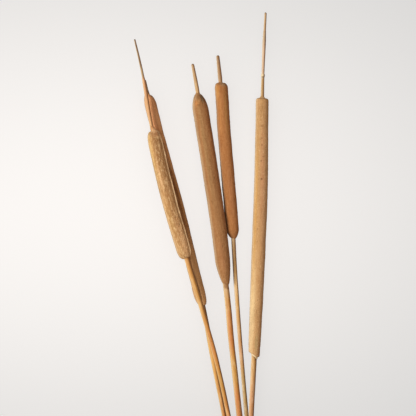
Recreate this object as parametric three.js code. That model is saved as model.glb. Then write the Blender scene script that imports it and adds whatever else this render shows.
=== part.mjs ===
/*
 * A bunch of five dried cattails lying on a flat surface.
 *
 * Millimetres, +Z up. The tips point toward +Y and the cut ends toward -Y. The origin is under the middle
 * of the bunch, on the surface it lies on.
 *
 * Each cattail has two pieces. The stalk is one stem from its cut end, through the seed head, to the tip of
 * the bare spike above it. The seed head is a sleeve of packed fluff round the stalk. Both follow one centre
 * line. The bunch lies as a pile: two cattails flat on the surface, and the others across them.
 */

import * as THREE from "three";

const GAP = 0.3; // clearance between a seed head and the stalk inside it
const STALK_SIDES = 10;
const HEAD_SIDES = 16;
const LONGEST_STEP = 22; // largest distance between two rings of a straight stretch
const END_RINGS = 5; // rings on the rounded end of a seed head
const TIP_BEVEL = 0.6; // bevel at a spike's tip, as a part of its radius

/*
 * centreLine  [x, y, z] from the cut end to the tip of the spike
 * widths      the stalk's diameters, as [distance below the tip, diameter]; the last runs on to the cut end
 * spike       length of bare spike above the seed head
 * head        the seed head's length
 * headWidths  its diameters near the top, in the middle and near the base
 * shoulder    [length, power] of its rounded top: a power of 2 is an ellipse, less is more pointed
 * foot        the same for its rounded base
 */
const CATTAILS = [
  {
    name: "left_front",
    centreLine: [
      [61, -299, 22.7],
      [44.5, -188, 21.9],
      [27.2, -104, 21.4],
      [15.6, -52, 21.1],
      [3.6, -8, 20.9],
      [-15.2, 55, 20.6],
      [-33.5, 116, 20.3],
      [-48.6, 179, 19.9],
      [-58.6, 236, 19.6],
      [-66.7, 272, 19.4],
    ],
    widths: [[0, 1.6], [38, 2.4], [44, 3.3], [95, 3.5], [223, 5.1], [290, 4.6]],
    spike: 94,
    head: 129,
    headWidths: [15.2, 15.8, 15.4],
    shoulder: [7, 2.2],
    foot: [9, 2.2],
    headColour: "#c39a61",
  },
  {
    name: "left_back",
    centreLine: [
      [54.5, -300, 2.4],
      [37.4, -188, 3.3],
      [22.1, -104, 4.3],
      [10.9, -48, 5.2],
      [1.8, 4, 6.2],
      [-8.4, 44, 6.5],
      [-22.2, 100, 6.5],
      [-48.5, 196, 6.5],
      [-56.5, 232, 6.6],
    ],
    widths: [[0, 2], [12, 2.8], [230, 4.6]],
    spike: 13,
    head: 220,
    headWidths: [12.6, 12.9, 12.7],
    shoulder: [14, 1.7],
    foot: [16, 1.6],
    headColour: "#9a6a3e",
  },
  {
    name: "middle",
    centreLine: [
      [57.5, -298, 17],
      [46.5, -188, 16.1],
      [38, -104, 15.5],
      [29.8, -28, 14.9],
      [25.2, 20, 14.3],
      [21.3, 48, 13.7],
      [17.6, 80, 12.9],
      [10, 132, 11],
      [-3.3, 216, 8.5],
      [-9, 248, 7.9],
    ],
    widths: [[0, 2.6], [31, 3.7], [225, 5.8], [330, 6.1]],
    spike: 31.5,
    head: 192.5,
    headWidths: [16.8, 16.6, 15.4],
    shoulder: [18, 1.7],
    foot: [27, 1.7],
    headColour: "#a5754a",
  },
  {
    name: "mid_right",
    centreLine: [
      [59.5, -300, 2.3],
      [51.5, -188, 3.4],
      [45, -104, 4.6],
      [38.6, -28, 5.8],
      [33.9, 36, 6.6],
      [31.8, 75, 7],
      [26.9, 132, 7.1],
      [22.6, 180, 7.1],
      [19.2, 228, 7.1],
      [16.2, 256.5, 7.1],
    ],
    widths: [[0, 2.8], [26, 3.8], [180, 4.3]],
    spike: 27.5,
    head: 156,
    headWidths: [13.8, 14.2, 13.9],
    shoulder: [8, 2.3],
    foot: [12, 1.8],
    headColour: "#b0744a",
  },
  {
    name: "right",
    centreLine: [
      [42.8, -298, 10.8],
      [46.7, -188, 10.2],
      [49.8, -104, 9.6],
      [52.6, -44, 9],
      [57.1, 60, 8.2],
      [59.5, 124, 7.6],
      [60.7, 204, 7.1],
      [61.5, 240, 6.9],
      [64.2, 299.5, 6.6],
    ],
    widths: [
      [0, 1.7], [18, 1.9], [27, 3], [36, 2], [61, 1.8], // the spike, with its slight swelling
      [63.5, 3.2], [66, 2.8], [85, 3.6], // the joint ring, and the thicker stretch under it
      [344, 5.7], [400, 5.3],
    ],
    spike: 86,
    head: 256,
    headWidths: [13, 14.8, 12.6],
    shoulder: [6, 2.8],
    foot: [9, 2],
    headColour: "#cfa872",
  },
];

const STALK_COLOUR = "#c98f4b";

// The scrap of dry bract left on one cattail, just under its head.
const BRACT = { cattail: "right", length: 7, width: 4.2, thickness: 0.4, segments: 6, colour: "#e6d3a6" };

/** The smooth curve through a cattail's centre line. */
function centreCurve(cattail) {
  const points = cattail.centreLine.map(([x, y, z]) => new THREE.Vector3(x, y, z));
  const curve = new THREE.CatmullRomCurve3(points, false, "centripetal");
  curve.arcLengthDivisions = 2000;
  return curve;
}

/** Bends a turned shape, whose axis is +Y with the cut end at 0, so that its axis follows the curve. */
function bendAlong(geometry, curve) {
  const length = curve.getLength();
  const vertices = geometry.attributes.position;
  const zAxis = new THREE.Vector3(0, 0, 1);
  for (let i = 0; i < vertices.count; i += 1) {
    const along = THREE.MathUtils.clamp(vertices.getY(i) / length, 0, 1);
    const tangent = curve.getTangentAt(along);
    const side = new THREE.Vector3().crossVectors(tangent, zAxis).normalize();
    const up = new THREE.Vector3().crossVectors(side, tangent);
    const place = curve.getPointAt(along);
    place.addScaledVector(side, vertices.getX(i));
    place.addScaledVector(up, vertices.getZ(i));
    vertices.setXYZ(i, place.x, place.y, place.z);
  }
  geometry.computeVertexNormals();
  return geometry;
}

/** Adds even stations between each two neighbours that are further apart than LONGEST_STEP. */
function fillStations(stations) {
  const filled = [stations[0]];
  for (let i = 1; i < stations.length; i += 1) {
    const start = stations[i - 1];
    const steps = Math.ceil((stations[i] - start) / LONGEST_STEP);
    for (let k = 1; k <= steps; k += 1) {
      filled.push(THREE.MathUtils.lerp(start, stations[i], k / steps));
    }
  }
  return filled;
}

/** A stalk's diameter at a distance below its tip. */
function stalkWidth(cattail, belowTip) {
  const widths = cattail.widths;
  const next = widths.findIndex(([distance]) => distance >= belowTip);
  if (next < 0) {
    return widths[widths.length - 1][1];
  }
  if (next === 0) {
    return widths[0][1];
  }
  const [d0, w0] = widths[next - 1];
  const [d1, w1] = widths[next];
  return THREE.MathUtils.mapLinear(belowTip, d0, d1, w0, w1);
}

/** A head's diameter, before its ends are rounded, at a part from its top, 0, to its base, 1. */
function headWidth(cattail, part) {
  const [top, middle, base] = cattail.headWidths;
  const bulge = middle - (top + base) / 2;
  return THREE.MathUtils.lerp(top, base, part) + bulge * 4 * part * (1 - part);
}

/** How far a rounded end has opened, from 0 at its very end to 1, at a part of its length. */
function endOpening(part, power) {
  return Math.pow(1 - Math.pow(1 - part, power), 1 / power);
}

/** The stalk from its cut end to the tip of its spike. */
function stalkGeometry(cattail, curve) {
  const length = curve.getLength();
  const tipRadius = cattail.widths[0][1] / 2;
  const bevel = tipRadius * TIP_BEVEL;
  const belowTip = fillStations([bevel, ...cattail.widths.slice(1).map(([distance]) => distance), length]);
  const profile = belowTip.reverse().map((d) => new THREE.Vector2(stalkWidth(cattail, d) / 2, length - d));
  profile.unshift(new THREE.Vector2(0, 0));
  profile.push(new THREE.Vector2(tipRadius - bevel, length));
  profile.push(new THREE.Vector2(0, length));
  return bendAlong(new THREE.LatheGeometry(profile, STALK_SIDES), curve);
}

/** The seed head: a sleeve with rounded ends, whose bore clears the stalk. */
function headGeometry(cattail, curve) {
  const length = curve.getLength();
  const top = length - cattail.spike;
  const base = top - cattail.head;
  const [shoulderLength, shoulderPower] = cattail.shoulder;
  const [footLength, footPower] = cattail.foot;
  const boreRadius = (along) => stalkWidth(cattail, length - along) / 2 + GAP;
  const bodyRadius = (along) => headWidth(cattail, (top - along) / cattail.head) / 2;
  const ring = (along, opening) => {
    const radius = THREE.MathUtils.lerp(boreRadius(along), bodyRadius(along), opening);
    return new THREE.Vector2(radius, along);
  };
  const profile = [];
  for (let i = 0; i < END_RINGS; i += 1) {
    const part = Math.pow(i / END_RINGS, 2);
    profile.push(ring(base + part * footLength, endOpening(part, footPower)));
  }
  for (const along of fillStations([base + footLength, top - shoulderLength])) {
    profile.push(ring(along, 1));
  }
  for (let i = END_RINGS - 1; i >= 0; i -= 1) {
    const part = Math.pow(i / END_RINGS, 2);
    profile.push(ring(top - part * shoulderLength, endOpening(part, shoulderPower)));
  }
  for (const along of fillStations([base, top]).reverse().slice(1)) {
    profile.push(ring(along, 0));
  }
  return bendAlong(new THREE.LatheGeometry(profile, HEAD_SIDES), curve);
}

/** The scrap of bract: a thin plate curved round the upper side of the stalk, just under the head. */
function bractGeometry(cattail, curve) {
  const belowTip = cattail.spike + cattail.head;
  const inner = stalkWidth(cattail, belowTip) / 2 + GAP;
  const outer = inner + BRACT.thickness;
  const middleAngle = -Math.PI / 2; // faces up once the outline's plane is turned upright
  const halfAngle = BRACT.width / 2 / outer;
  const outline = new THREE.Shape();
  outline.absarc(0, 0, outer, middleAngle - halfAngle, middleAngle + halfAngle, false);
  outline.absarc(0, 0, inner, middleAngle + halfAngle, middleAngle - halfAngle, true);
  outline.closePath();
  const geometry = new THREE.ExtrudeGeometry(outline, {
    depth: BRACT.length,
    bevelEnabled: false,
    curveSegments: BRACT.segments,
  });
  geometry.rotateX(-Math.PI / 2);
  geometry.translate(0, curve.getLength() - belowTip - BRACT.length - GAP, 0);
  return bendAlong(geometry, curve);
}

/** A named mesh with its own material. */
function piece(name, geometry, colour, roughness) {
  const material = new THREE.MeshStandardMaterial({ color: colour, roughness, metalness: 0 });
  const mesh = new THREE.Mesh(geometry, material);
  mesh.name = name;
  return mesh;
}

/** One cattail's stalk and seed head, and its bract if it has one. */
function makeCattail(cattail) {
  const curve = centreCurve(cattail);
  const group = new THREE.Group();
  group.add(piece(`${cattail.name}_stalk`, stalkGeometry(cattail, curve), STALK_COLOUR, 0.55));
  group.add(piece(`${cattail.name}_head`, headGeometry(cattail, curve), cattail.headColour, 0.95));
  if (cattail.name === BRACT.cattail) {
    group.add(piece(`${cattail.name}_bract`, bractGeometry(cattail, curve), BRACT.colour, 0.7));
  }
  return group;
}

/** Puts the origin under the middle of the whole bunch, on the surface it lies on. */
function centred(group) {
  const box = new THREE.Box3().setFromObject(group, true);
  const middle = box.getCenter(new THREE.Vector3());
  group.position.set(-middle.x, -middle.y, -box.min.z);
  const outer = new THREE.Group();
  outer.add(group);
  return outer;
}

const pile = new THREE.Group();
CATTAILS.forEach((cattail) => pile.add(makeCattail(cattail)));

export default centred(pile);
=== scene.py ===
"""A bunch of five dried cattails: the looks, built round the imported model.

Each cattail's centre line and widths are read from its CAD stalk and head. From them this script makes
a fine stalk, a felt-like seed head and the short fibres that stand on the head. All lengths are in metres.

On every piece the vertex attribute "straight" holds where the point would be on a straightened cattail:
x to the right and z up, from the centre line, and y the distance below the tip. Materials read it, so that
their streaks run along the stems and stay on them.
"""

import itertools

import bmesh
import bpy
import numpy as np
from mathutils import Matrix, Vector


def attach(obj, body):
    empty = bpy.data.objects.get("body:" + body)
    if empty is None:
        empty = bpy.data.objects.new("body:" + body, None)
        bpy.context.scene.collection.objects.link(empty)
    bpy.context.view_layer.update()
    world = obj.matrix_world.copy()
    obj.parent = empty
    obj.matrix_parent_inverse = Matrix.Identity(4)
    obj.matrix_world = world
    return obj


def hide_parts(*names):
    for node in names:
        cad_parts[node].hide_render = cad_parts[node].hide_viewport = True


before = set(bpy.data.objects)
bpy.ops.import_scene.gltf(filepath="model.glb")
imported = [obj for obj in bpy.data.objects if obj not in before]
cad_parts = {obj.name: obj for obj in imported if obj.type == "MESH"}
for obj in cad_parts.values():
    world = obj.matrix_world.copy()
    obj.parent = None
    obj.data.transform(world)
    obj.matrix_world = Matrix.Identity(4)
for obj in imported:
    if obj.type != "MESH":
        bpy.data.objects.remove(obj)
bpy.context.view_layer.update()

MM = 0.001
FULL_TURN = 2 * np.pi
BODY = "root"

HEAD_CELL = 0.55 * MM  # size of a head's mesh cells
STALK_STEP = 0.8 * MM  # distance between a stalk's rings
STALK_SIDES = 24
FIBRES_PER_SQUARE_MM = 2.4
FIBRE_LENGTH = (0.35 * MM, 0.75 * MM)
FIBRE_WIDTH = (0.11 * MM, 0.17 * MM)
FIBRE_ROOT = 0.1 * MM  # how deep a fibre's base is in the felt
FIBRE_SPREAD = 0.35  # how unevenly the fibres lean
FIBRE_LEAN = (0, -0.35, 0)  # how they all lean a little toward the tip
FIBRE_FREE = 0.4 * MM  # how much of a head's very ends stands free of them

# How each cattail differs. Lengths are in millimetres, and bearings in degrees: 0 is to the right, 90 up.
#   bow       how far the head's axis lies to the right of the stalk's, at its top and at its base
#   trim      how much shorter the fluff is than the CAD head, at its top and at its base
#   shoulder  length and roundness of the head's top end: 2 is an ellipse, less is more pointed
#   foot      the same for its base
#   slant     how much lower the right side of the head ends than its axis, at its top and at its base
#   collar    length and thickness of the cone of fluff round the spike, and how far it leans to the right
#   grooves   depth of the lengthwise grooves in the fluff
#   mottle    strength of the mottling
#   streaks   strength of the lengthwise streaks of colour
#   pits      share of the surface with small dark pits
#   flecks    share with pale flecks
#   scars     dents in the fluff, darkened partly by their own colour and partly by painted shade: bearing,
#             distance below the head's top, width, length, depth, darkness
#   stains    soft patches of colour, some the fluff's own, some painted shade in creases and shadows, and some
#             painted light on shaded places: bearing, distance below the head's top, width, length, colour,
#                 strength.
#             Each lies over the ones before it
#   rim       a thin ridge along the head with a painted highlight: its bearing, height and width
#   sides     how much painted light the head's left side has, and how much painted shade its right side
#   felt      the head's main, deep and pale colours
#   straw     the stalk's deep and pale colours
#   zones     the stalk's ground colour at distances below its tip; the first ones are the bare spike's
#   stout     how thick the stalk is, as parts of the CAD one's, at distances below its tip
#   aside     how far to the right the stalk below the head has sprung
#   tip       length and darkness of the spike's dark tip
#   knots     dark spots and lines on the stalk, some its own, some painted shade in creases and under the bract:
#             bearing, distance below the tip, width, length, darkness
LOOKS = {
    "left_front": dict(
        seed=11, slot="head_gold", bow=(0.7, -0.6), trim=(0.3, -1.6), shoulder=(14, 2.5), foot=(10, 2.1),
        slant=(0.9, -0.4), collar=(8, 2.4, 1), grooves=0.12, mottle=0.6, streaks=0.3, pits=0.6, flecks=0.4,
        scars=[
            [62, 96, 1.2, 2.5, 0.5, 0.6], [40, 101, 1.0, 2.0, 0.5, 0.6], [75, 88, 0.9, 2.2, 0.4, 0.5],
            [55, 112, 1.1, 1.8, 0.4, 0.5], [100, 60, 0.9, 3.0, 0.3, 0.4], [80, 30, 0.9, 2.5, 0.3, 0.4],
        ],
        # Painted shade: the second stain, on the right half. The last is partly the flare's own pink, partly
        # painted light on the shaded collar.
        stains_and_painted_light=[
            [150, 20, 7, 70, "#d9ad5c", 0.7], [60, 64, 18, 400, "#95683f", 0.85],
            [75, 14, 10, 55, "#85572f", 0.7], [115, 45, 3, 40, "#dcb285", 0.6],
            [120, 90, 5, 30, "#a98249", 0.5], [35, 115, 5, 40, "#b98a62", 0.6],
            [68, 116, 8, 64, "#cf9f72", 0.55], [46, -1, 20, 15, "#d59466", 0.95],
        ],
        # A painted highlight along the right edge, on a thin ridge.
        rim_highlight=(26, 0.9, 1.4),
        sides=(0.4, 0.55), felt=("#bd8f5b", "#8f6338", "#e9c795"), straw=("#6b3c10", "#edcf98"),
        zones=[
            [0, "#6f5136"], [37, "#755739"], [42, "#c48d60"], [92, "#cb9763"], [223, "#be8440"],
            [273, "#c08a3c"], [318, "#c47c32"], [353, "#b98530"], [393, "#c07838"],
        ],
        stout=[[0, 1]], aside=0, tip=(1.8, 0.95),
        # All three knots are painted shade: in the creases against the stalk and the head beside it, and on
        # the right edge.
        knots_and_painted_shade=[[165, 385, 2.6, 170, 0.6], [5, 237, 2.6, 60, 0.5], [32, 385, 2.8, 200, 0.5]],
    ),
    "left_back": dict(
        seed=23, slot="head_dark", bow=(0.2, -0.6), trim=(1.3, 0), shoulder=(12, 1.9), foot=(13, 2.1),
        slant=(1.6, 0.5), collar=(1, 0.3, 0), grooves=0.08, mottle=0.3, streaks=0.3, pits=0.3, flecks=0.1,
        scars=[],
        # Painted light: the first two, where the front head shades this one. Painted shade: the fourth, along
        # the front head's edge, and the last two, in the creases by the front stalk.
        stains_and_painted_light=[
            [80, 20, 24, 84, "#eeaa78", 0.85], [58, 50, 10, 80, "#dfa070", 0.65],
            [10, 70, 12, 180, "#d9a36e", 0.6], [66, 100, 6, 115, "#65340a", 0.65],
            [55, 195, 16, 100, "#e0ae78", 0.85], [107, 178, 4, 50, "#461c02", 1],
            [91, 204, 4, 50, "#331600", 1],
        ],
        rim_highlight=None,
        sides=(0.4, 0), felt=("#b9824f", "#743f14", "#d8a878"), straw=("#54300f", "#e9c98c"),
        # The dark spike zones are partly painted shadow, behind the front cattail's spike.
        zones=[
            [0, "#8f6036"], [6, "#6b421c"], [14, "#5a3614"], [233, "#7a4a20"], [246, "#bb823b"],
            [293, "#c48a36"], [343, "#bc7932"],
        ],
        stout=[[11, 0.8], [14, 1], [233, 1], [283, 1.12]], aside=1, tip=(1.0, 0.6),
        # Painted shade on the stalk's right half, where the front stalk lies against it.
        knots_and_painted_shade=[[58, 345, 3.4, 170, 0.85]],
    ),
    "middle": dict(
        seed=37, slot="head_brown", bow=(0.1, 0.2), trim=(0, 1), shoulder=(17, 1.75), foot=(22.5, 1.3),
        slant=(0.4, 1.0), collar=(2, 0.8, 0), grooves=0.03, mottle=0.2, streaks=0.15, pits=0.35, flecks=0.1,
        scars=[
            [64, 6, 1.6, 12, 0.5, 0.4], [100, 11, 6, 1.4, 0.4, 0.35], [35, 38, 0.9, 1.2, 0.4, 0.7],
            [80, 120, 0.8, 1.2, 0.3, 0.5],
        ],
        # Painted shade: the first, at the top's right edge, and the last, on the right shoulder.
        stains_and_painted_light=[
            [18, 7, 6, 9, "#54402c", 0.8], [112, 9.5, 9, 6, "#c6834a", 0.6],
            [125, 3, 6, 7, "#c79f74", 0.7], [98, 60, 5, 120, "#9a7a4f", 0.6],
            [78, 130, 10, 320, "#8c613b", 0.5], [45, 60, 6, 160, "#b3713f", 0.5],
            [90, 165, 9, 40, "#b27b52", 0.5], [52, 4, 5.5, 12, "#5c5946", 0.95],
        ],
        rim_highlight=None,
        sides=(0.5, 0.75), felt=("#9f7045", "#744620", "#c79a6c"), straw=("#6f3c0e", "#f3d8a4"),
        zones=[
            [0, "#a8865f"], [30, "#b9905c"], [221, "#865525"], [226.5, "#8f5f2b"], [228.5, "#c8a273"],
            [238, "#bf8a48"], [254, "#c07e38"], [279, "#c47731"],
            [299, "#ba832e"], [319, "#b8822b"], [336, "#c0752f"], [384, "#ba792e"],
        ],
        stout=[[25, 1.12], [31, 1]], aside=0, tip=(1.3, 0.8), knots_and_painted_shade=[[48, 227.6, 2.2, 2.4, 1]],
    ),
    "mid_right": dict(
        seed=41, slot="head_orange", bow=(0.4, -0.4), trim=(0.6, 0), shoulder=(7, 2.7), foot=(9, 1.35),
        slant=(0.3, 0.4), collar=(1, 0.4, 0), grooves=0.03, mottle=0.2, streaks=0.15, pits=0.45, flecks=0.2,
        scars=[
            [70, 98, 0.9, 1.4, 0.4, 0.6], [52, 118, 1.0, 1.0, 0.4, 0.6], [84, 131, 0.8, 1.2, 0.3, 0.5],
            [120, 62, 0.8, 1.4, 0.3, 0.5],
        ],
        # Painted shade: the fifth, in the crease beside the middle head. The last is partly painted shade on
        # the grey crown.
        stains_and_painted_light=[
            [140, 9, 7, 18, "#c08a42", 0.6], [55, 28, 6, 60, "#a5793f", 0.6],
            [120, 30, 6, 60, "#bb7e44", 0.4], [75, 110, 6, 60, "#ad734c", 0.5],
            [176, 125, 7, 130, "#5a2c0c", 0.9], [62, 1.5, 10, 6, "#a08c70", 0.7],
        ],
        rim_highlight=None,
        sides=(0.25, 0.5), felt=("#a46c3d", "#834b23", "#cb9766"), straw=("#6b3f1a", "#f5e3c2"),
        # The pale zone at 183 mm is partly painted light, where the middle head shades the stalk.
        zones=[
            [0, "#96714c"], [27, "#a47c50"], [183, "#dcb27a"], [223, "#d6a762"], [278, "#c19052"],
            [298, "#c8915f"], [323, "#b59257"],
        ],
        stout=[[22, 1.2], [28, 1]], aside=0, tip=(1.2, 0.45), knots_and_painted_shade=[],
    ),
    "right": dict(
        seed=53, slot="head_pale", bow=(0, 0), trim=(0, -1.1), shoulder=(4, 3.2), foot=(4, 4.5),
        slant=(0.2, 2.1), collar=(2.4, 1.5, 0),
        grooves=0.03, mottle=0.12, streaks=0.12, pits=0.25, flecks=0.3,
        scars=[
            [90, 28, 1.5, 1.8, 0.3, 0.6], [90, 40, 3.2, 1.0, 0.25, 0.55], [88, 47, 1.5, 1.8, 0.3, 0.6],
            [92, 63, 1.5, 1.8, 0.3, 0.6], [86, 81, 2.0, 1.6, 0.4, 0.9], [105, 131, 1.0, 1.4, 0.3, 0.5],
            [60, 190, 0.7, 4.0, 0.25, 0.3], [20, 206, 1.6, 3.5, 0.2, 0.4],
        ],
        stains_and_painted_light=[
            [50, 90, 9, 240, "#bc8c66", 0.6], [35, 215, 6, 120, "#b98a64", 0.6],
            [90, 20, 22, 110, "#b08352", 0.6], [140, 215, 11, 120, "#efd4a2", 0.7],
            [75, 245, 5, 20, "#a99a6c", 0.5], [35, 253, 5, 14, "#a0684a", 0.6],
            [138, 110, 5, 200, "#cf9c4c", 0.6], [84, 75, 5, 110, "#bb7f5c", 0.5],
        ],
        rim_highlight=None,
        sides=(0.5, 0.55), felt=("#be9160", "#946a3e", "#e8ca9c"), straw=("#5e3314", "#f6e6c6"),
        zones=[
            [0, "#b8956b"], [18, "#b8956b"], [26, "#9c7850"], [36, "#caa98a"], [60, "#c8a686"],
            [63.5, "#e0c9a0"], [67, "#b08850"], [86, "#b08850"], [342, "#c2924e"], [362, "#c29354"],
            [387, "#c68d5c"], [422, "#bf8d52"],
        ],
        stout=[[0, 1.35], [20, 1.35], [27, 1.15], [36, 1.7], [60, 1.7], [65, 1.15], [86, 1]],
        aside=0, tip=(1.6, 0.6),
        # The last two knots are painted shade, under the bract.
        knots_and_painted_shade=[[70, 64.8, 7, 2.4, 0.6], [45, 347.2, 2.8, 3.6, 0.9], [80, 345.4, 3.4, 1.6, 0.6]],
    ),
}


# ---- noise and small helpers

TABLE_CELLS = 64
RANDOM_TABLE = np.random.default_rng(2).uniform(-1, 1, (TABLE_CELLS, TABLE_CELLS, TABLE_CELLS))
SEED_SHIFT = 7.31  # how many of the table's cells apart the noises of two seeds are
OVAL_CORE = 0.3  # the part of an oval mark that is full strength
KNOT_EDGE, MARK_EDGE = 1.2, 1.3  # knots, and scars and stains, fade out at this many times their size


def noise(points, size, seed):
    """Smooth noise from -1 to 1 at points, with lumps of that size: one number, or three."""
    cells = points / size + seed * SEED_SHIFT
    low = np.floor(cells).astype(int)
    part = cells - low
    part = part * part * (3 - 2 * part)
    total = np.zeros(points.shape[:-1])
    for corner in itertools.product((0, 1), repeat=3):
        weight = np.where(corner, part, 1 - part).prod(-1)
        i, j, k = np.moveaxis((low + corner) % TABLE_CELLS, -1, 0)
        total += weight * RANDOM_TABLE[i, j, k]
    return total


def stem_noise(points, across, along, seed):
    """Noise on straightened points, with lumps of these sizes across and along the stem, in millimetres."""
    return noise(points, (across * MM, along * MM, across * MM), seed)


def smooth_step(values, low, high):
    """0 below low, 1 above high and smooth between."""
    part = np.clip((values - low) / (high - low), 0, 1)
    return part * part * (3 - 2 * part)


def unit(vectors):
    """The vectors with a length of 1."""
    return vectors / np.linalg.norm(vectors, axis=-1, keepdims=True)


def around(radius, below, angle):
    """Straightened points this far from the centre line, in the directions of these angles."""
    return np.stack(np.broadcast_arrays(radius * np.cos(angle), below, radius * np.sin(angle)), -1)


def turned(angle, bearing):
    """How far angles are from a bearing in degrees, at most half a turn either way."""
    return (angle - np.radians(bearing) + np.pi) % FULL_TURN - np.pi


def in_oval(below, angle, radius, oval, edge):
    """1 in the middle of an oval, falling smoothly to 0 at edge times its size."""
    bearing, down, width, length = oval
    across = turned(angle, bearing) * radius
    away = np.hypot(across / (width * MM / 2), (below - down * MM) / (length * MM / 2))
    return 1 - smooth_step(away, OVAL_CORE, edge)


def linear_colour(code):
    """A colour code such as #c79c66 as Blender's linear colour, by the sRGB standard's curve."""
    srgb = np.array([int(code[i:i + 2], 16) for i in (1, 3, 5)]) / 255
    linear = np.where(srgb <= 0.04045, srgb / 12.92, ((srgb + 0.055) / 1.055) ** 2.4)
    return (*linear, 1.0)


def blend(colours, code, amount):
    """Linear colours, one for each point, moved toward a colour code by an amount from 0 to 1."""
    return colours + (np.array(linear_colour(code)[:3]) - colours) * amount[..., None]


# ---- the frame's centre lines


class CentreLine:
    """A cattail's centre line and the stalk's radius, by distance below the tip, from its CAD stalk."""

    FIT_DEGREE = 8
    RING_TOLERANCE = 0.3 * MM
    SAMPLES = 6000  # points of the line that a head's corners are matched to

    def __init__(self, name):
        corners = unique_corners(f"{name}_stalk")
        rings = self.group(corners, self.rough_height(corners))
        self.centres = np.array([ring.mean(0) for ring in rings])
        self.radii = np.array([np.linalg.norm(ring - ring.mean(0), axis=1).max() for ring in rings])
        steps = np.linalg.norm(np.diff(self.centres, axis=0), axis=1)
        self.below = np.concatenate([[0], np.cumsum(steps)])
        self.length = self.below[-1]
        self.slopes = np.gradient(self.centres, self.below, axis=0)

    def rough_height(self, corners):
        """About where each corner lies along the line: the y of its foot on a smooth fit through them all."""
        y = corners[:, 1] - corners[:, 1].mean()
        slant, offset = np.zeros(len(y)), np.zeros(len(y))
        for axis in (0, 2):
            fit = np.polynomial.Polynomial.fit(y, corners[:, axis], self.FIT_DEGREE)
            slope = fit.deriv()(y)
            offset += slope * (corners[:, axis] - fit(y))
            slant += slope ** 2
        return corners[:, 1] + offset / (1 + slant)

    def group(self, corners, height):
        """The corners as rings, from the tip down. A lone corner at an end's middle joins the ring there."""
        order = np.argsort(-height)
        breaks = np.flatnonzero(np.diff(-height[order]) > self.RING_TOLERANCE) + 1
        return [corners[part] for part in np.split(order, breaks)]

    def points(self, below):
        """Points of the line: a smooth curve through the rings' middles."""
        below = np.clip(below, 0, self.length)
        i = np.clip(np.searchsorted(self.below, below, side="right") - 1, 0, len(self.below) - 2)
        gap = (self.below[i + 1] - self.below[i])[..., None]
        t = (below - self.below[i])[..., None] / gap
        ease = t * t * (3 - 2 * t)
        return (
            self.centres[i] * (1 - ease) + self.centres[i + 1] * ease
            + self.slopes[i] * gap * t * (1 - t) ** 2
            - self.slopes[i + 1] * gap * t * t * (1 - t)
        )

    def directions(self, below):
        """Unit vectors to the line's right and up, seen from above with the tip ahead."""
        near = 1 * MM
        ahead = unit(self.points(below - near) - self.points(below + near))
        right = unit(np.cross(ahead, (0, 0, 1)))
        return right, np.cross(right, ahead)

    def place(self, straight):
        """Bends points of the straightened cattail onto the line."""
        below = straight[..., 1]
        right, up = self.directions(below)
        over = below - np.clip(below, 0, self.length)
        ahead = np.cross(up, right)
        return (
            self.points(below) - ahead * over[..., None]
            + right * straight[..., 0:1] + up * straight[..., 2:3]
        )

    def stalk_radius(self, below):
        return np.interp(below, self.below, self.radii)

    def outline(self, node):
        """Distances below the tip of a CAD head's rings on this line, and the widest radius of each."""
        corners = unique_corners(node)
        below = np.linspace(0, self.length, self.SAMPLES)
        line = self.points(below)
        nearest = np.array([np.argmin(((line - corner) ** 2).sum(1)) for corner in corners])
        radii = np.linalg.norm(corners - line[nearest], axis=1)
        stations = np.round(below[nearest] / MM).astype(int)
        found = np.unique(stations)
        widest = np.array([radii[stations == station].max() for station in found])
        return found * MM, widest


CORNER_DECIMALS = 7  # corners alike to this many decimals are one


def unique_corners(node):
    """The different corners of a CAD node's mesh."""
    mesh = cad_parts[node].data
    corners = np.empty(len(mesh.vertices) * 3)
    mesh.vertices.foreach_get("co", corners)
    return np.unique(corners.reshape(-1, 3).round(CORNER_DECIMALS), axis=0)


# ---- objects and meshes

UV_NAME = "OFBake"  # the map that materials are baked into
UV_MARGIN = 0.012


def new_object(name, data):
    """An object of this data, in the scene."""
    thing = bpy.data.objects.new(name, data)
    bpy.context.scene.collection.objects.link(thing)
    return thing


def mesh_object(name, vertices, faces, uv, marks):
    """An object from vertices, faces of one size, the faces' corners in the map, and vertex attributes."""
    vertices[:, 2] = np.maximum(vertices[:, 2], 0)  # nothing sinks into the floor
    mesh = bpy.data.meshes.new(name)
    sides = faces.shape[1]
    mesh.vertices.add(len(vertices))
    mesh.vertices.foreach_set("co", vertices.astype(np.float32).ravel())
    mesh.loops.add(faces.size)
    mesh.loops.foreach_set("vertex_index", faces.astype(np.int32).ravel())
    mesh.polygons.add(len(faces))
    mesh.polygons.foreach_set("loop_start", np.arange(0, faces.size, sides, dtype=np.int32))
    mesh.update(calc_edges=True)
    mesh.polygons.foreach_set("use_smooth", np.ones(len(faces), bool))
    layer = mesh.uv_layers.new(name=UV_NAME)
    layer.uv.foreach_set("vector", uv.astype(np.float32).ravel())
    for mark, values in marks.items():
        kind, field = ("FLOAT_VECTOR", "vector") if values.ndim == 2 else ("FLOAT", "value")
        attribute = mesh.attributes.new(mark, kind, "POINT")
        attribute.data.foreach_set(field, values.astype(np.float32).ravel())
    mesh.validate()
    return new_object(name, mesh)


def tube_object(name, line, straight, marks, wraps):
    """A tube from rings of straightened points. It wraps onto its first ring, or its end rings are points."""
    rows, columns = straight.shape[:2]
    index = np.arange(rows * columns).reshape(rows, columns)
    beside = np.roll(index, -1, axis=1)
    below = np.roll(index, -1, axis=0)
    corner = np.roll(beside, -1, axis=0)
    faces = np.stack([index, beside, corner, below], axis=-1)
    kept = rows if wraps else rows - 1
    faces = faces[:kept].reshape(-1, 4)
    uv = strip_map(kept, columns, straight)
    marks = {mark: values.reshape(rows * columns, *values.shape[2:]) for mark, values in marks.items()}
    marks["straight"] = straight.reshape(-1, 3)
    piece = mesh_object(name, line.place(straight).reshape(-1, 3), faces, uv, marks)
    if not wraps:
        merge_ends(piece)
    return piece


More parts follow.
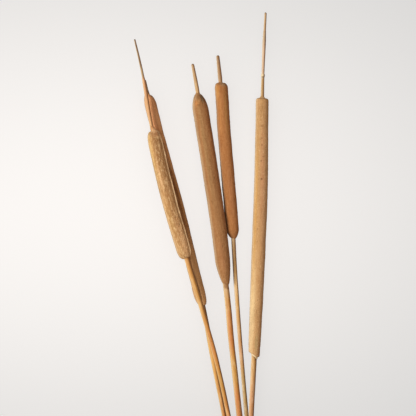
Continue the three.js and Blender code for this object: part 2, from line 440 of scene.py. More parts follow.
def strip_map(rows, columns, straight):
    """Map corners for a tube's faces. Its length is cut into strips, side by side, to fill a square."""
    length = np.ptp(straight[..., 1])
    girth = FULL_TURN * np.abs(straight[..., 0]).max()
    strips = max(1, round((length / girth) ** 0.5))
    row, column = np.mgrid[0:rows, 0:columns]
    per_strip = int(np.ceil(rows / strips))
    strip = row // per_strip
    across = np.stack([column, column + 1, column + 1, column], axis=-1) / columns
    down = (row % per_strip)[..., None] + np.array([0, 0, 1, 1])
    share = UV_MARGIN + (1 - 2 * UV_MARGIN) * np.stack([across, down / per_strip], axis=-1)
    share[..., 0] = (strip[..., None] + share[..., 0]) / strips
    return share.reshape(-1, 2)


def merge_ends(piece):
    """Joins the vertices of each end ring, which all lie on the axis, into one."""
    shape = bmesh.new()
    shape.from_mesh(piece.data)
    bmesh.ops.remove_doubles(shape, verts=shape.verts, dist=0.001 * MM)
    shape.to_mesh(piece.data)
    shape.free()


def settle(piece, slot, material, *nodes):
    """Gives a finished piece its material and its body, and hides the CAD nodes that it stands for. Its slot
    is not used.
    """
    piece.data.materials.append(material)
    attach(piece, BODY)
    if nodes:
        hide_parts(*nodes)


# ---- node materials


# A painted highlight along the front head's rim.
RIM_HIGHLIGHT = "#ffdfb4"
# The colour of the pits, the scars and the dip round the spike: partly painted shade, and wholly so in the
# dip.
FELT_MARKS_AND_SHADE = "#4a2b14"  # the pits, the scars and the dip round the spike
FELT_SHEEN = "#f6e2c4"
PITH = "#e9d9b0"
# The stalk's marks: its dark tip and knots, some of them painted shade.
STALK_MARKS_AND_SHADE = "#4f2507"  # the tip and the knots


class Nodes:
    """The node tree of a material or a world, with a short call for each kind of node."""

    def __init__(self, owner):
        self.owner = owner
        owner.use_nodes = True
        self.tree = owner.node_tree
        self.tree.nodes.clear()

    def add(self, kind, inputs=None, **settings):
        """A new node. Its inputs are other nodes' outputs, colour codes and plain values."""
        node = self.tree.nodes.new(kind)
        for key, value in settings.items():
            setattr(node, key, value)
        for key, value in (inputs or {}).items():
            if isinstance(value, bpy.types.NodeSocket):
                self.tree.links.new(value, node.inputs[key])
            else:
                node.inputs[key].default_value = linear_colour(value) if isinstance(value, str) else value
        return node

    def attribute(self, name, output="Fac"):
        return self.add("ShaderNodeAttribute", attribute_name=name).outputs[output]

    def noise(self, across, along, detail=2.0, rough=0.5, seed=0.0):
        """Noise from 0 to 1 with lumps of these sizes across and along the stem, in millimetres."""
        scale = [1 / (length * MM) for length in (across, along, across)]
        inputs = {"Vector": self.attribute("straight", "Vector"), "Location": [seed] * 3, "Scale": scale}
        stretched = self.add("ShaderNodeMapping", inputs)
        inputs = {"Vector": stretched.outputs["Vector"], "Scale": 1.0, "Detail": detail, "Roughness": rough}
        return self.add("ShaderNodeTexNoise", inputs).outputs["Fac"]

    def spread(self, value, low, high, to_low=0.0, to_high=1.0):
        """The value with low to high spread over to_low to to_high, and no further."""
        inputs = {"Value": value, "From Min": low, "From Max": high, "To Min": to_low, "To Max": to_high}
        return self.add("ShaderNodeMapRange", inputs, interpolation_type="SMOOTHSTEP").outputs["Result"]

    def maths(self, operation, *values):
        return self.add("ShaderNodeMath", dict(enumerate(values)), operation=operation).outputs[0]

    def mix(self, factor, first, second):
        """The first colour, moved toward the second. Their sockets have numbers, as several share a name."""
        return self.add("ShaderNodeMix", {0: factor, 6: first, 7: second}, data_type="RGBA").outputs[2]

    def layers(self, colour, *layers):
        """The colour under layers. Each has a value, the range it fades in over, a strength and a colour."""
        for value, low, high, strength, tint in layers:
            colour = self.mix(self.spread(value, low, high, to_high=strength), colour, tint)
        return colour

    def bump(self, height, distance, strength):
        inputs = {"Height": height, "Distance": distance, "Strength": strength}
        return self.add("ShaderNodeBump", inputs).outputs["Normal"]

    def surface(self, **inputs):
        """Ends a material with its shader, whose inputs are named with _ for each space."""
        inputs = {key.replace("_", " "): value for key, value in inputs.items()}
        shader = self.add("ShaderNodeBsdfPrincipled", inputs)
        self.add("ShaderNodeOutputMaterial", {"Surface": shader.outputs["BSDF"]})
        return self.owner


def felt_colour(nodes, look):
    """The colour of packed seed fluff: its ground colour with soft mottling, streaks, speckle and marks, some
    marks painted shade, and a painted highlight on the rim.
    """
    deep, pale = look["felt"][1:]
    seed = float(look["seed"])
    mottle, streakiness = look["mottle"], look["streaks"]
    patches = nodes.noise(6, 26, seed=seed)
    mottling = nodes.noise(1.5, 4.5, detail=3.0, rough=0.6, seed=seed + 1)
    streaks = nodes.noise(1.8, 16, detail=3.0, seed=seed + 3)
    speckle = nodes.noise(0.45, 0.6, seed=seed + 5)
    colour = nodes.layers(
        nodes.attribute("ground", "Color"),
        (patches, 0.45, 0.7, 0.25, deep),
        (mottling, 0.5, 0.72, mottle, pale),
        (mottling, 0.47, 0.28, 0.8 * mottle, deep),
        (streaks, 0.5, 0.7, streakiness, pale),
        (streaks, 0.5, 0.3, streakiness, deep),
        (speckle, 0.5, 0.72, 0.45, pale),
        (speckle, 0.48, 0.3, 0.45, deep),
    )
    colour = nodes.mix(nodes.attribute("pale"), colour, pale)
    # A painted highlight on the rim; the dark marks are partly painted shade.
    colour = nodes.mix(nodes.attribute("rim_highlight"), colour, RIM_HIGHLIGHT)
    return nodes.mix(nodes.attribute("dark"), colour, FELT_MARKS_AND_SHADE)


def felt_material(name, look):
    """Packed seed fluff: rough and a little velvety, with fine grain and tufts."""
    nodes = Nodes(bpy.data.materials.new(f"{name}_felt"))
    seed = float(look["seed"])
    grain = nodes.noise(0.35, 0.5, detail=3.0, rough=0.65, seed=seed + 9)
    tufts = nodes.noise(1.3, 2.6, seed=seed + 13)
    height = nodes.maths("ADD", grain, tufts)
    return nodes.surface(
        Base_Color=felt_colour(nodes, look),
        Roughness=nodes.spread(grain, 0.3, 0.7, 0.82, 1.0),
        Normal=nodes.bump(height, distance=0.35 * MM, strength=0.7),
        Specular_IOR_Level=0.2,
        Sheen_Weight=0.25,
        Sheen_Roughness=0.45,
        Sheen_Tint=FELT_SHEEN,
    )


def nap_material(name, look):
    """The fibres: the felt's colour, a little paler toward their tips and each a little different."""
    nodes = Nodes(bpy.data.materials.new(f"{name}_nap"))
    deep, pale = look["felt"][1:]
    tone = nodes.attribute("tone")
    colour = nodes.layers(felt_colour(nodes, look), (tone, 0.5, 0.0, 0.35, deep))
    colour = nodes.mix(nodes.maths("MULTIPLY", nodes.attribute("tip"), 0.3), colour, pale)
    return nodes.surface(
        Base_Color=colour,
        Roughness=nodes.spread(tone, 0.0, 1.0, 0.7, 0.95),
        Specular_IOR_Level=0.25,
        Sheen_Weight=0.1,
        Sheen_Roughness=0.4,
        Sheen_Tint=FELT_SHEEN,
    )


def straw_material(name, look):
    """Dry stalk: fine lengthwise streaks over its ground colour, with painted light on the left side and
    painted shade on the right.
    """
    nodes = Nodes(bpy.data.materials.new(f"{name}_straw"))
    deep, pale = look["straw"]
    seed = float(look["seed"])
    fine = nodes.noise(0.35, 30, detail=3.0, rough=0.6, seed=seed)
    broad = nodes.noise(1.6, 120, seed=seed + 2)
    patches = nodes.noise(3, 14, seed=seed + 4)
    spots = nodes.noise(0.7, 2.2, detail=1.0, seed=seed + 6)
    ground = nodes.attribute("ground", "Color")
    colour = nodes.layers(ground, (broad, 0.5, 0.75, 0.35, deep), (patches, 0.5, 0.7, 0.25, pale))
    # Painted light on the left side and painted shade on the right.
    colour = nodes.mix(nodes.attribute("painted_light"), colour, pale)
    colour = nodes.mix(nodes.attribute("painted_shade"), colour, deep)
    colour = nodes.layers(
        colour,
        (fine, 0.55, 0.75, 0.4, pale),
        (fine, 0.45, 0.28, 0.4, deep),
        (spots, 0.68, 0.78, 0.5, deep),
    )
    colour = nodes.mix(nodes.attribute("pith"), colour, PITH)
    colour = nodes.mix(nodes.attribute("dark"), colour, STALK_MARKS_AND_SHADE)
    return nodes.surface(
        Base_Color=colour,
        Roughness=nodes.spread(fine, 0.3, 0.7, 0.42, 0.68),
        Normal=nodes.bump(fine, distance=0.12 * MM, strength=0.8),
        Specular_IOR_Level=0.45,
        Sheen_Weight=0.05,
    )


# ---- stalks

TIP_ROWS = [(0.0, 0.0), (0.0, 0.45), (0.04, 0.75), (0.14, 0.93), (0.32, 1.0)]  # mm below the tip, width share
CUT_ROWS = [  # mm above the cut end, width share, pith share
    (0.35, 1.0, 0), (0.1, 0.985, 0), (0.0, 0.93, 0), (0.02, 0.85, 0.3), (0.22, 0.8, 1), (0.3, 0.6, 1),
    (0.26, 0.35, 1), (0.3, 0.15, 1), (0.28, 0.0, 1),
]
CUT_SLANT = 0.35  # how far the slanting cut runs up one side, as a part of the stalk's radius
CUT_SLANT_ABOVE = (4 * MM, 0.4 * MM)  # where above the cut the slant begins, and where it is whole
RIB_RADIUS = 2 * MM  # the ribs are noise on a tube this wide all along
RIB_DEPTH = 0.055  # the fine ribs' height, as a part of the stalk's radius
SWELL_DEPTH = 0.035  # the same for the slow swells
SWAY = 0.12 * MM  # how far the stalk strays from the CAD one's line
SWAY_START = 10 * MM  # the length of the tip that strays less
SPRUNG_OVER = 60 * MM  # the length below the head over which the stalk springs aside
# Painted light and shade: the stalk's left side is painted paler and its right side browner, as if lit from
# the left.
PAINTED_LIGHT_LEFT = 0.65  # how pale the stalk's left side is
PAINTED_SHADE_RIGHT = 0.72  # how brown its right side is
SIDE_WANDER = 0.2  # how far these sides wander round the stalk, in radians


def stalk_rows(line):
    """Distances below the tip, width shares and pith shares of a stalk's rings."""
    tip = [(below * MM, width, 0) for below, width in TIP_ROWS]
    cut = [(line.length - above * MM, width, pith) for above, width, pith in CUT_ROWS]
    first, last = tip[-1][0], cut[0][0]
    count = round((last - first) / STALK_STEP)
    side = [(below, 1, 0) for below in np.linspace(first, last, count + 1)[1:-1]]
    return np.array([*tip, *side, *cut]).T


def stalk_ground(look, below):
    """The stalk's ground colour along its length."""
    stations = np.array([distance for distance, _ in look["zones"]]) * MM
    colours = np.array([linear_colour(code)[:3] for _, code in look["zones"]])
    return np.stack([np.interp(below, stations, channel) for channel in colours.T], axis=-1)


def ribbed_radius(look, radius, below, angle):
    """The stalk's radius with its fine ribs and slow swells."""
    tube = around(RIB_RADIUS, below, angle)
    ribs = stem_noise(tube, 0.9, 70, look["seed"])
    swells = stem_noise(tube, 9, 12, look["seed"] + 1)
    return radius * (1 + RIB_DEPTH * ribs + SWELL_DEPTH * swells)


def stalk_sway(look, middle, below, head):
    """How far the stalk strays from the CAD one's line, to the right and up."""
    sway = SWAY * np.minimum(1, below / SWAY_START)
    sprung = look["aside"] * MM * smooth_step(below, head.base, head.base + SPRUNG_OVER)
    right = sprung + sway * noise(middle, 23 * MM, look["seed"] + 2)
    up = sway * noise(middle, 27 * MM, look["seed"] + 3)
    return right, up


def stalk_darkness(look, radius, below, angle):
    """How dark the stalk is at its tip and its knots, some of them painted shade, from 0 to 1."""
    tip_length, tip_darkness = look["tip"]
    dark = tip_darkness * smooth_step(-below, -tip_length * MM, -0.2 * MM) * np.ones(radius.shape)
    for *oval, darkness in look["knots_and_painted_shade"]:
        dark += darkness * in_oval(below, angle, radius, oval, KNOT_EDGE)
    return np.minimum(dark, 1)


def make_stalk(name, look, line, head):
    """One stalk, from its spike's tip to its cut end."""
    below, width, pith = (values[:, None] for values in stalk_rows(line))
    angle = np.arange(STALK_SIDES) / STALK_SIDES * FULL_TURN
    stations, factors = np.array(look["stout"]).T
    radius = line.stalk_radius(below) * width * np.interp(below, stations * MM, factors)
    radius = ribbed_radius(look, radius, below, angle)
    middle = around(0, below, 0)
    right, up = stalk_sway(look, middle, below, head)
    slant_begins, slant_whole = (line.length - above for above in CUT_SLANT_ABOVE)
    at_cut = smooth_step(below, slant_begins, slant_whole)
    slanted = below - at_cut * CUT_SLANT * radius * (1 + np.cos(angle + look["seed"]))
    straight = np.stack([radius * np.cos(angle) + right, slanted, radius * np.sin(angle) + up], -1)
    side = np.cos(angle - SIDE_WANDER * noise(middle, 60 * MM, look["seed"] + 4))
    marks = {
        "dark": stalk_darkness(look, radius, below, angle),
        "pith": np.broadcast_to(pith, radius.shape),
        # Painted light on the left side and painted shade on the right.
        "painted_light": PAINTED_LIGHT_LEFT * smooth_step(-side, 0.45, 0.95),
        "painted_shade": PAINTED_SHADE_RIGHT * smooth_step(side, 0.05, 0.75),
        "ground": stalk_ground(look, below * np.ones(radius.shape)),
    }
    stalk = tube_object(f"{name}_stalk_straw", line, straight, marks, wraps=False)
    settle(stalk, "stalk", straw_material(name, look), f"{name}_stalk")
    return stalk


# ---- seed heads

END_ROWS = 26  # rings on each rounded end of a head
CONE_ROWS = 9  # rings on the cone of fluff round the spike
CAD_ROUNDING = 6 * MM  # the CAD heads' own ends are rounded within this, so their widths there aren't read
BORE_SHARE = 0.6  # a CAD ring narrower than this part of the widest is in the head's bore
BORE_ROWS = 12
BORE_GAP = 0.05 * MM  # between the stalk and the bore
CONE_SINK = 0.15 * MM  # how far the cone's thin edge sinks into the stalk
CONE_EDGE = 0.2  # the edge is where the cone is thinner than this part of its thickest
# The colour of the painted light on the heads' left sides.
PAINTED_LIGHT_FELT = "#f0d9b4"
FLUFF_LUMPS = [(7, 11, 0.2), (1.6, 2.6, 0.09), (0.8, 1.1, 0.06)]  # size across, size along and height in mm
GROOVE_WIDTH = 0.25  # a groove is where its noise is nearer to 0 than this
PIT_DEPTH, FLECK_HEIGHT = 0.25, 0.08  # in millimetres
FLECK_PALENESS, CONE_PALENESS = 0.6, 0.25
# The dip round the spike is only painted shade; the pits' and scars' darkness is partly painted shade in the
# dents.
PIT_DARKNESS, DIP_SHADE, DARKEST = 0.45, 0.3, 0.9
DIP = 0.15  # where the dip round the spike is, and its width, as a part of the shoulder's length
RIM_WANDER = 0.4 * MM  # how far the thin ridge strays from its bearing
RIM_UNEVENNESS = 0.25
RIM_GROOVE = 0.6  # depth of the groove beside the ridge, as a part of the ridge's height
END_UNEVENNESS = 0.25  # how uneven a head's very ends are, as a part of its body's unevenness
NAP_ROOM = 0.45 * MM  # the felt lies this far inside the CAD head, and its fibres reach out to it


class Head:
    """The shape of one seed head, for any place on it."""

    def __init__(self, name, look, line):
        self.look = look
        self.line = line
        found, radii = line.outline(f"{name}_head")
        self.top, self.base = found[0] + look["trim"][0] * MM, found[-1] - look["trim"][1] * MM
        self.shoulder, self.foot = look["shoulder"][0] * MM, look["foot"][0] * MM
        shoulder, foot = max(self.shoulder, CAD_ROUNDING), max(self.foot, CAD_ROUNDING)
        full = (found > self.top + shoulder) & (found < self.base - foot)
        full &= radii > BORE_SHARE * radii.max()
        self.stations, self.radii = found[full], radii[full]

    def opening(self, below):
        """How far the rounded ends have opened, from 0 at the very ends to 1 on the body."""
        opened = np.ones_like(below)
        for gone, (length, power) in (
            (below - self.top, self.look["shoulder"]),
            (self.base - below, self.look["foot"]),
        ):
            part = np.clip(gone / (length * MM), 0, 1)
            opened = opened * (1 - (1 - part) ** power) ** (1 / power)
        return opened

    def smooth_radius(self, below, angle, opened, cone):
        """The outer surface's radius before the fluff's unevenness."""
        bare = self.line.stalk_radius(below) + BORE_GAP
        body = np.interp(below, self.stations, self.radii) - NAP_ROOM
        thickness, lean = self.look["collar"][1:]
        thick = thickness * MM * cone * (1 + lean * np.cos(angle)) * (1 - opened)
        sunk = (BORE_GAP + CONE_SINK) * (1 - smooth_step(cone, 0, CONE_EDGE)) * (below < self.top)
        return bare + (body - bare) * opened + thick - sunk

    def fluff(self, straight):
        """How far the fluff stands out, in millimetres, and how much of it is pits and pale flecks."""
        look, seed = self.look, self.look["seed"]
        proud = np.zeros(straight.shape[:-1])
        for step, (across, along, height) in enumerate(FLUFF_LUMPS):
            proud += height * stem_noise(straight, across, along, seed + step)
        grooves = np.clip(1 - np.abs(stem_noise(straight, 1.3, 22, seed + 3)) / GROOVE_WIDTH, 0, 1)
        pits = smooth_step(stem_noise(straight, 1.0, 1.6, seed + 4), 0.8 - 0.25 * look["pits"], 0.9)
        flecks = smooth_step(stem_noise(straight, 0.7, 1.8, seed + 5), 0.8 - 0.3 * look["flecks"], 0.95)
        return proud - look["grooves"] * grooves - PIT_DEPTH * pits + FLECK_HEIGHT * flecks, pits, flecks

    def leaning(self, below, opened):
        """How far the head lies to the right of the stalk, and how much lower its right side is."""
        part = np.clip((below - self.top) / (self.base - self.top), 0, 1)
        top_bow, base_bow = np.array(self.look["bow"]) * MM
        top_slant, base_slant = np.array(self.look["slant"]) * MM
        near_top = 1 - smooth_step(below, self.top, self.top + 2 * self.shoulder)
        near_base = smooth_step(below, self.base - 2 * self.foot, self.base)
        bow = (top_bow + (base_bow - top_bow) * part) * opened
        return bow, top_slant * near_top + base_slant * near_base

    def outer(self, below, angle):
        """Straightened points of the outer surface, and its marks there."""
        opened = self.opening(below)
        cone = np.clip(1 - np.abs(below - self.top) / (self.look["collar"][0] * MM), 0, 1) ** 2
        radius = self.smooth_radius(below, angle, opened, cone)
        proud, pits, flecks = self.fluff(around(radius, below, angle))
        scars, scar_dark = self.scars(below, angle)
        ridge, rim_highlight = self.rim_highlight(below, angle, radius, opened)
        unevenness = END_UNEVENNESS + (1 - END_UNEVENNESS) * opened
        radius = radius + (proud - scars + ridge) * MM * unevenness
        bow, slant = self.leaning(below, opened)
        straight = around(radius, below + slant * np.cos(angle), angle)
        straight[..., 0] += bow
        # Dark marks: the pits and scars, partly painted shade, and painted shade in the dip round the spike.
        dark = PIT_DARKNESS * pits + scar_dark + DIP_SHADE * self.dip_shade(below)
        marks = {
            "pale": np.clip(FLECK_PALENESS * flecks + CONE_PALENESS * cone * (1 - opened), 0, 1),
            "rim_highlight": rim_highlight * np.ones_like(below),
            "dark": np.clip(dark, 0, DARKEST),
            "ground": self.ground(below, angle),
        }
        return straight, marks

    def mark(self, below, angle, oval):
        """The strength of an oval mark, whose place is measured from the head's top."""
        return in_oval(below - self.top, angle, self.radii.mean(), oval, MARK_EDGE)

    def ground(self, below, angle):
        """The felt's ground colour: its main colour, the stains with their painted light and shade, and
        painted light on its left side and painted shade on its right.
        """
        colours = np.ones((*below.shape, 3)) * linear_colour(self.look["felt"][0])[:3]
        for *oval, code, strength in self.look["stains_and_painted_light"]:
            colours = blend(colours, code, strength * self.mark(below, angle, oval))
        # Painted light on the left side and painted shade on the right.
        side = np.cos(angle)
        painted_light, painted_shade_on_right = self.look["sides"]
        colours = blend(colours, PAINTED_LIGHT_FELT, painted_light * smooth_step(-side, 0.6, 1))
        return blend(colours, self.look["felt"][1], painted_shade_on_right * smooth_step(side, 0.4, 0.95))

    def dip_shade(self, below):
        """1 in the painted shade of the dip round the spike, just outside the cone of fluff."""
        return np.exp(-((below - self.top) / (DIP * self.shoulder) - 1) ** 2)

    def scars(self, below, angle):
        """How deep the scars are, in millimetres, and how dark, partly by painted shade in the dents."""
        depth, dark = np.zeros_like(below), np.zeros_like(below)
        for *oval, sunk, darkness in self.look["scars"]:
            inside = self.mark(below, angle, oval)
            depth += sunk * inside
            dark += darkness * inside
        return depth, dark

    def rim_highlight(self, below, angle, radius, opened):
        """How far the thin ridge stands up, in millimetres, and how strong its painted highlight is."""
        if self.look["rim_highlight"] is None:
            return 0, 0
        bearing, height, width = self.look["rim_highlight"]
        middle = around(0, below, 0)
        wander = RIM_WANDER * noise(middle, 24 * MM, self.look["seed"] + 8)
        off = turned(angle, bearing) * radius - wander
        ridge = np.exp(-(off / (width * MM / 2)) ** 2)
        groove = np.exp(-((off - width * MM) / (width * MM / 2)) ** 2)
        uneven = 1 - RIM_UNEVENNESS + RIM_UNEVENNESS * noise(middle, 6 * MM, self.look["seed"] + 9)
        strength = opened * uneven
        return strength * height * (ridge - RIM_GROOVE * groove), strength * ridge


def head_rows(head):
    """Distances below the tip of the rings on a head's outer surface, closer together at its ends."""
    share = np.linspace(0, 1, END_ROWS, endpoint=False) ** 2
    collar = head.look["collar"][0] * MM
    top = head.top + share * head.shoulder
    base = head.base - share * head.foot
    first, last = head.top + head.shoulder, head.base - head.foot
    body = np.linspace(first, last, round((last - first) / HEAD_CELL))
    cone = head.top - collar * np.linspace(1, 0, CONE_ROWS, endpoint=False)
    return np.concatenate([cone, top, body, base[::-1]])


def make_head(name, look, line, head):
    """The felt of one head: a sleeve round the stalk."""
    columns = int(np.ceil(FULL_TURN * head.radii.max() / HEAD_CELL / 2)) * 2
    angle = np.arange(columns) / columns * FULL_TURN
    below, turn = np.meshgrid(head_rows(head), angle, indexing="ij")
    outer, marks = head.outer(below, turn)
    bore_below = np.linspace(below[-1, 0], below[0, 0], BORE_ROWS)[1:-1]
    bore_below, bore_turn = np.meshgrid(bore_below, angle, indexing="ij")
    bore = around(line.stalk_radius(bore_below) + BORE_GAP, bore_below, bore_turn)
    marks = {
        key: np.concatenate([value, np.zeros((*bore.shape[:2], *value.shape[2:]))])
        for key, value in marks.items()
    }
    piece = tube_object(f"{name}_head_felt", line, np.concatenate([outer, bore]), marks, wraps=True)
    settle(piece, look["slot"], felt_material(name, look), f"{name}_head")
    return piece


def make_nap(name, look, line, head):
    """The short fibres on a head: closed three-sided spikes that lean a little toward the tip."""
    random = np.random.default_rng(look["seed"])
    area = FULL_TURN * head.radii.mean() * (head.base - head.top)
    count = round(area / MM ** 2 * FIBRES_PER_SQUARE_MM)
    below = random.uniform(head.top + FIBRE_FREE, head.base - FIBRE_FREE, count)
    angle = random.uniform(0, FULL_TURN, count)
    step = 0.2 * MM
    root, marks = head.outer(below, angle)
    lower = head.outer(below + step, angle)[0] - root
    beside = head.outer(below, angle + step / head.radii.mean())[0] - root
    out = unit(np.cross(beside, lower))
    ahead = unit(out + (random.normal(0, FIBRE_SPREAD, (count, 3)) + FIBRE_LEAN))
    length = random.uniform(*FIBRE_LENGTH, count)[:, None]
    width = random.uniform(*FIBRE_WIDTH, count)[:, None]
    first = unit(np.cross(ahead, (0, 1, 0)))
    second = np.cross(ahead, first)
    turn = random.uniform(0, FULL_TURN, count)[:, None]
    corners = []
    for k in range(3):
        bearing = turn + k * FULL_TURN / 3
        outward = first * np.cos(bearing) + second * np.sin(bearing)
        corners.append(root - ahead * FIBRE_ROOT + outward * width / 2)
    corners.append(root + ahead * length)
    straight = np.stack(corners, axis=1).reshape(-1, 3)
    start = 4 * np.arange(count)[:, None, None]
    faces = (start + np.array([[0, 1, 3], [1, 2, 3], [2, 0, 3], [0, 2, 1]])).reshape(-1, 3)
    marks["tone"] = random.uniform(0, 1, count)
    marks = {key: np.repeat(value, 4, axis=0) for key, value in marks.items()}
    marks["tip"] = np.tile([0, 0, 0, 1], count)
    marks["straight"] = straight
    uv = nap_map(straight, head, faces)
    piece = mesh_object(f"{name}_head_nap", line.place(straight), faces, uv, marks)
    settle(piece, look["slot"], nap_material(name, look))
    return piece


def nap_map(straight, head, faces):
    """Map corners for the fibres: where they stand on the head, unrolled."""
    turn = np.arctan2(straight[:, 2], straight[:, 0]) / FULL_TURN + 0.5
    along = (straight[:, 1] - head.top) / (head.base - head.top)
    return np.clip(np.stack([turn, along], axis=1), 0, 1)[faces.ravel()]


# ---- the scrap of bract

BRACT_TURN = (12, 168)  # degrees round the stalk, from its right side over the top
BRACT_WIDTH = 1.5 * MM  # how much of it shows below the head
BRACT_TUCK = 0.8 * MM  # how much is hidden under the head
BRACT_POINT = (42, 20, 1.3 * MM)  # the bearing, half width and length of its longest tooth
BRACT_THICKNESS = 0.22 * MM
BRACT_GAP = 0.25 * MM  # between it and the stalk, where it leaves the head
BRACT_FLARE = 1.0 * MM  # how much further from the stalk its torn edge stands
BRACT_CELLS = (14, 48)
BRACT_COLOUR, BRACT_VEINS, BRACT_PATCHES = "#d8bd8c", "#f3e4c2", "#b98f58"


def bract_material(name):
    """Papery dry bract: pale cream with fine veins."""
    nodes = Nodes(bpy.data.materials.new(f"{name}_bract"))
    veins = nodes.noise(0.3, 8, seed=3.0)
    patches = nodes.noise(1.5, 2, seed=5.0)
    colour = nodes.layers(
        BRACT_COLOUR,
        (veins, 0.4, 0.65, 1.0, BRACT_VEINS),
        (patches, 0.55, 0.75, 0.5, BRACT_PATCHES),
    )
    return nodes.surface(
        Base_Color=colour,
        Roughness=nodes.spread(veins, 0.3, 0.7, 0.55, 0.8),
        Normal=nodes.bump(veins, distance=0.08 * MM, strength=0.8),
        Specular_IOR_Level=0.35,
    )


def make_bract(name, look, line, head):
    """A thin torn sheet round the top of the stalk, tucked under the head's slanting base."""
    rows, across = BRACT_CELLS
    share, turn = np.meshgrid(np.linspace(0, 1, rows), np.linspace(0, 1, across), indexing="ij")
    angle = np.radians(BRACT_TURN[0] + (BRACT_TURN[1] - BRACT_TURN[0]) * turn)
    upper = head.base - BRACT_TUCK + look["slant"][1] * MM * np.cos(angle)
    bearing, half_width, tooth = BRACT_POINT
    edge = np.stack([turn * 9, 0 * turn, 0 * turn], -1)
    torn = 0.5 * MM * noise(edge, 1.0, 4) + 0.25 * MM * noise(edge, 0.35, 6)
    long = BRACT_WIDTH + torn + tooth * np.exp(-((np.degrees(angle) - bearing) / half_width) ** 2)
    long *= smooth_step(turn, -0.02, 0.12) * smooth_step(-turn, -1.02, -0.85)
    below = upper + (BRACT_TUCK + long) * share
    lift = BRACT_GAP + BRACT_FLARE * share ** 1.5 * (0.7 + 0.5 * noise(edge, 2.0, 9))
    thickness = BRACT_THICKNESS * np.minimum(1, 6 * (1 - share))
    thickness = thickness * np.minimum(1, 8 * np.minimum(turn, 1 - turn))
    inner = line.stalk_radius(below) + lift
    outside, inside = around(inner + thickness, below, angle), around(inner, below, angle)
    straight = np.concatenate([outside, inside[:, ::-1]], axis=1)
    piece = tube_object(f"{name}_bract_paper", line, straight, {}, wraps=False)
    settle(piece, "bract", bract_material(name), f"{name}_bract")
    return piece


# ---- stage, light and camera

VIEW_WIDTH = 0.416  # how wide the view is at the height of the stems' middle
VIEW_CENTRE = (0.0065, 0.104, 0.012)
CAMERA_DISTANCE = 3.0
CAMERA_REACH = 100  # how far the camera sees
SENSOR = 36.0
FLOOR_SIZE = 120
FLOOR_FADE = 9.0  # where the floor has faded to the colour of the studio's horizon
FLOOR_GLOW = 0.815
# A painted pool of light: the floor's colour and glow are painted palest round this place.
PAINTED_POOL_CENTRE = (-0.14, 0.11)  # the floor is palest in a soft pool of light
PAINTED_POOL_SIZE = (0.71, 0.425)
GLOW_COLOUR, GLOW_PAINTED_POOL, GLOW_HORIZON = "#d0d0d0", "#fdfaf8", "#e7e1d8"
PAPER_COLOUR, PAPER_PAINTED_POOL = "#8f8f8f", "#a3a2a1"
SKY_COLOUR = "#fff9f1"
SKY_TOP, SKY_EDGE = 0.42, 0.8  # how bright the studio is overhead and near the floor
SKY_TOP_FROM = 0.6  # how far up it is as bright as overhead: 0 is the horizon, 1 overhead
SKY_LEAN = 0.35  # how much brighter its left side is


def make_floor():
    """A large pale floor. It glows a little, as a lit backdrop does, so that shadows on it stay faint, and
    its colour and glow are painted palest in a soft pool of light.
    """
    mesh = bpy.data.meshes.new("floor")
    edge = FLOOR_SIZE / 2
    corners = [(-edge, -edge, 0), (edge, -edge, 0), (edge, edge, 0), (-edge, edge, 0)]
    mesh.from_pydata(corners, [], [(0, 1, 2, 3)])
    floor = new_object("floor", mesh)
    nodes = Nodes(bpy.data.materials.new("floor_paper"))
    place = nodes.add("ShaderNodeTexCoord").outputs["Object"]
    painted_pool = nodes.spread(round_patch(nodes, place, PAINTED_POOL_CENTRE, PAINTED_POOL_SIZE), 0, 1)
    near = nodes.spread(round_patch(nodes, place, (0, 0), (FLOOR_FADE, FLOOR_FADE)), 0, 0.8)
    glow = nodes.mix(painted_pool, GLOW_COLOUR, GLOW_PAINTED_POOL)
    glow = nodes.mix(near, GLOW_HORIZON, glow)
    paper = nodes.mix(painted_pool, PAPER_COLOUR, PAPER_PAINTED_POOL)
    mesh.materials.append(nodes.surface(
        Base_Color=paper,
        Roughness=0.9,
        Specular_IOR_Level=0.1,
        Emission_Color=glow,
        Emission_Strength=FLOOR_GLOW,
    ))
    light_only(floor, [floor])


def round_patch(nodes, place, centre, size):
    """1 at the centre of an oval on the floor, falling evenly to 0 at its edge."""
    scale = [1 / length for length in (*size, 1)]
    shift = [-middle * factor for middle, factor in zip((*centre, 0), scale)]
    inputs = {"Vector": place, "Location": shift, "Scale": scale}
    moved = nodes.add("ShaderNodeMapping", inputs).outputs["Vector"]
    return nodes.add("ShaderNodeTexGradient", {"Vector": moved}, gradient_type="SPHERICAL").outputs["Fac"]


def add_softbox(name, place, size, power, colour):
    """A rectangular lamp that faces the middle of the view."""
    light = bpy.data.lights.new(name, "AREA")
    light.shape = "RECTANGLE"
    light.size, light.size_y = size
    light.energy = power
    light.color = linear_colour(colour)[:3]
    lamp = new_object(name, light)
    lamp.location = place
    lamp.rotation_euler = (Vector(VIEW_CENTRE) - Vector(place)).to_track_quat("-Z", "Y").to_euler()
    lamp.visible_camera = False
    return lamp


def light_only(lamp, pieces):
    """The lamp, or the glowing floor, lights these pieces and nothing else."""
    lamp.light_linking.receiver_collection = collection_of(f"lit_by_{lamp.name}", pieces)


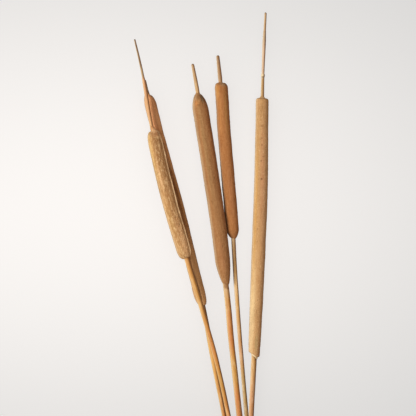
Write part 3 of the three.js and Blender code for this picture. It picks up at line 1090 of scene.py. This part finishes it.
def collection_of(name, pieces):
    collection = bpy.data.collections.new(name)
    for piece in pieces:
        collection.objects.link(piece)
    return collection


def make_world():
    """Soft white studio light from all round: brighter near the floor, and on the left."""
    world = bpy.data.worlds.new("studio")
    nodes = Nodes(world)
    direction = nodes.add("ShaderNodeTexCoord").outputs["Generated"]
    axes = nodes.add("ShaderNodeSeparateXYZ", {"Vector": direction}).outputs
    heights = {"Value": axes["Z"], "From Max": SKY_TOP_FROM, "To Min": SKY_EDGE, "To Max": SKY_TOP}
    height = nodes.add("ShaderNodeMapRange", heights).outputs["Result"]
    side = nodes.maths("MULTIPLY_ADD", axes["X"], -SKY_LEAN, 1.0)
    strength = nodes.maths("MULTIPLY", height, side)
    inputs = {"Color": SKY_COLOUR, "Strength": strength}
    background = nodes.add("ShaderNodeBackground", inputs).outputs["Background"]
    nodes.add("ShaderNodeOutputWorld", {"Surface": background})
    bpy.context.scene.world = world


def make_camera():
    """A camera high above the stems, looking straight down."""
    camera = bpy.data.cameras.new("camera")
    camera.sensor_width = SENSOR
    camera.lens = SENSOR * CAMERA_DISTANCE / VIEW_WIDTH
    camera.clip_end = CAMERA_REACH
    eye = new_object("camera", camera)
    x, y, z = VIEW_CENTRE
    eye.location = (x, y, z + CAMERA_DISTANCE)
    bpy.context.scene.camera = eye


make_floor()
make_world()
make_camera()
key = add_softbox("key", place=(-1.3, 0.15, 1.75), size=(0.9, 0.9), power=44, colour="#fffbf4")
fill = add_softbox("fill", place=(1.5, 0.1, 0.5), size=(1.5, 0.8), power=4, colour="#ffc890")
bpy.context.scene.view_settings.view_transform = "Standard"

pieces = []
for name, look in LOOKS.items():
    line = CentreLine(name)
    head = Head(name, look, line)
    makers = [make_stalk, make_head, make_nap]
    if name == "right":
        makers.append(make_bract)
    pieces += [make(name, look, line, head) for make in makers]
light_only(key, pieces)
light_only(fill, pieces)
# The middle stalk would leave the thin stalk beside it in shadow, which a softer studio light does not.
shading = [piece for piece in pieces if piece.name != "middle_stalk_straw"]
key.light_linking.blocker_collection = collection_of("shading", shading)
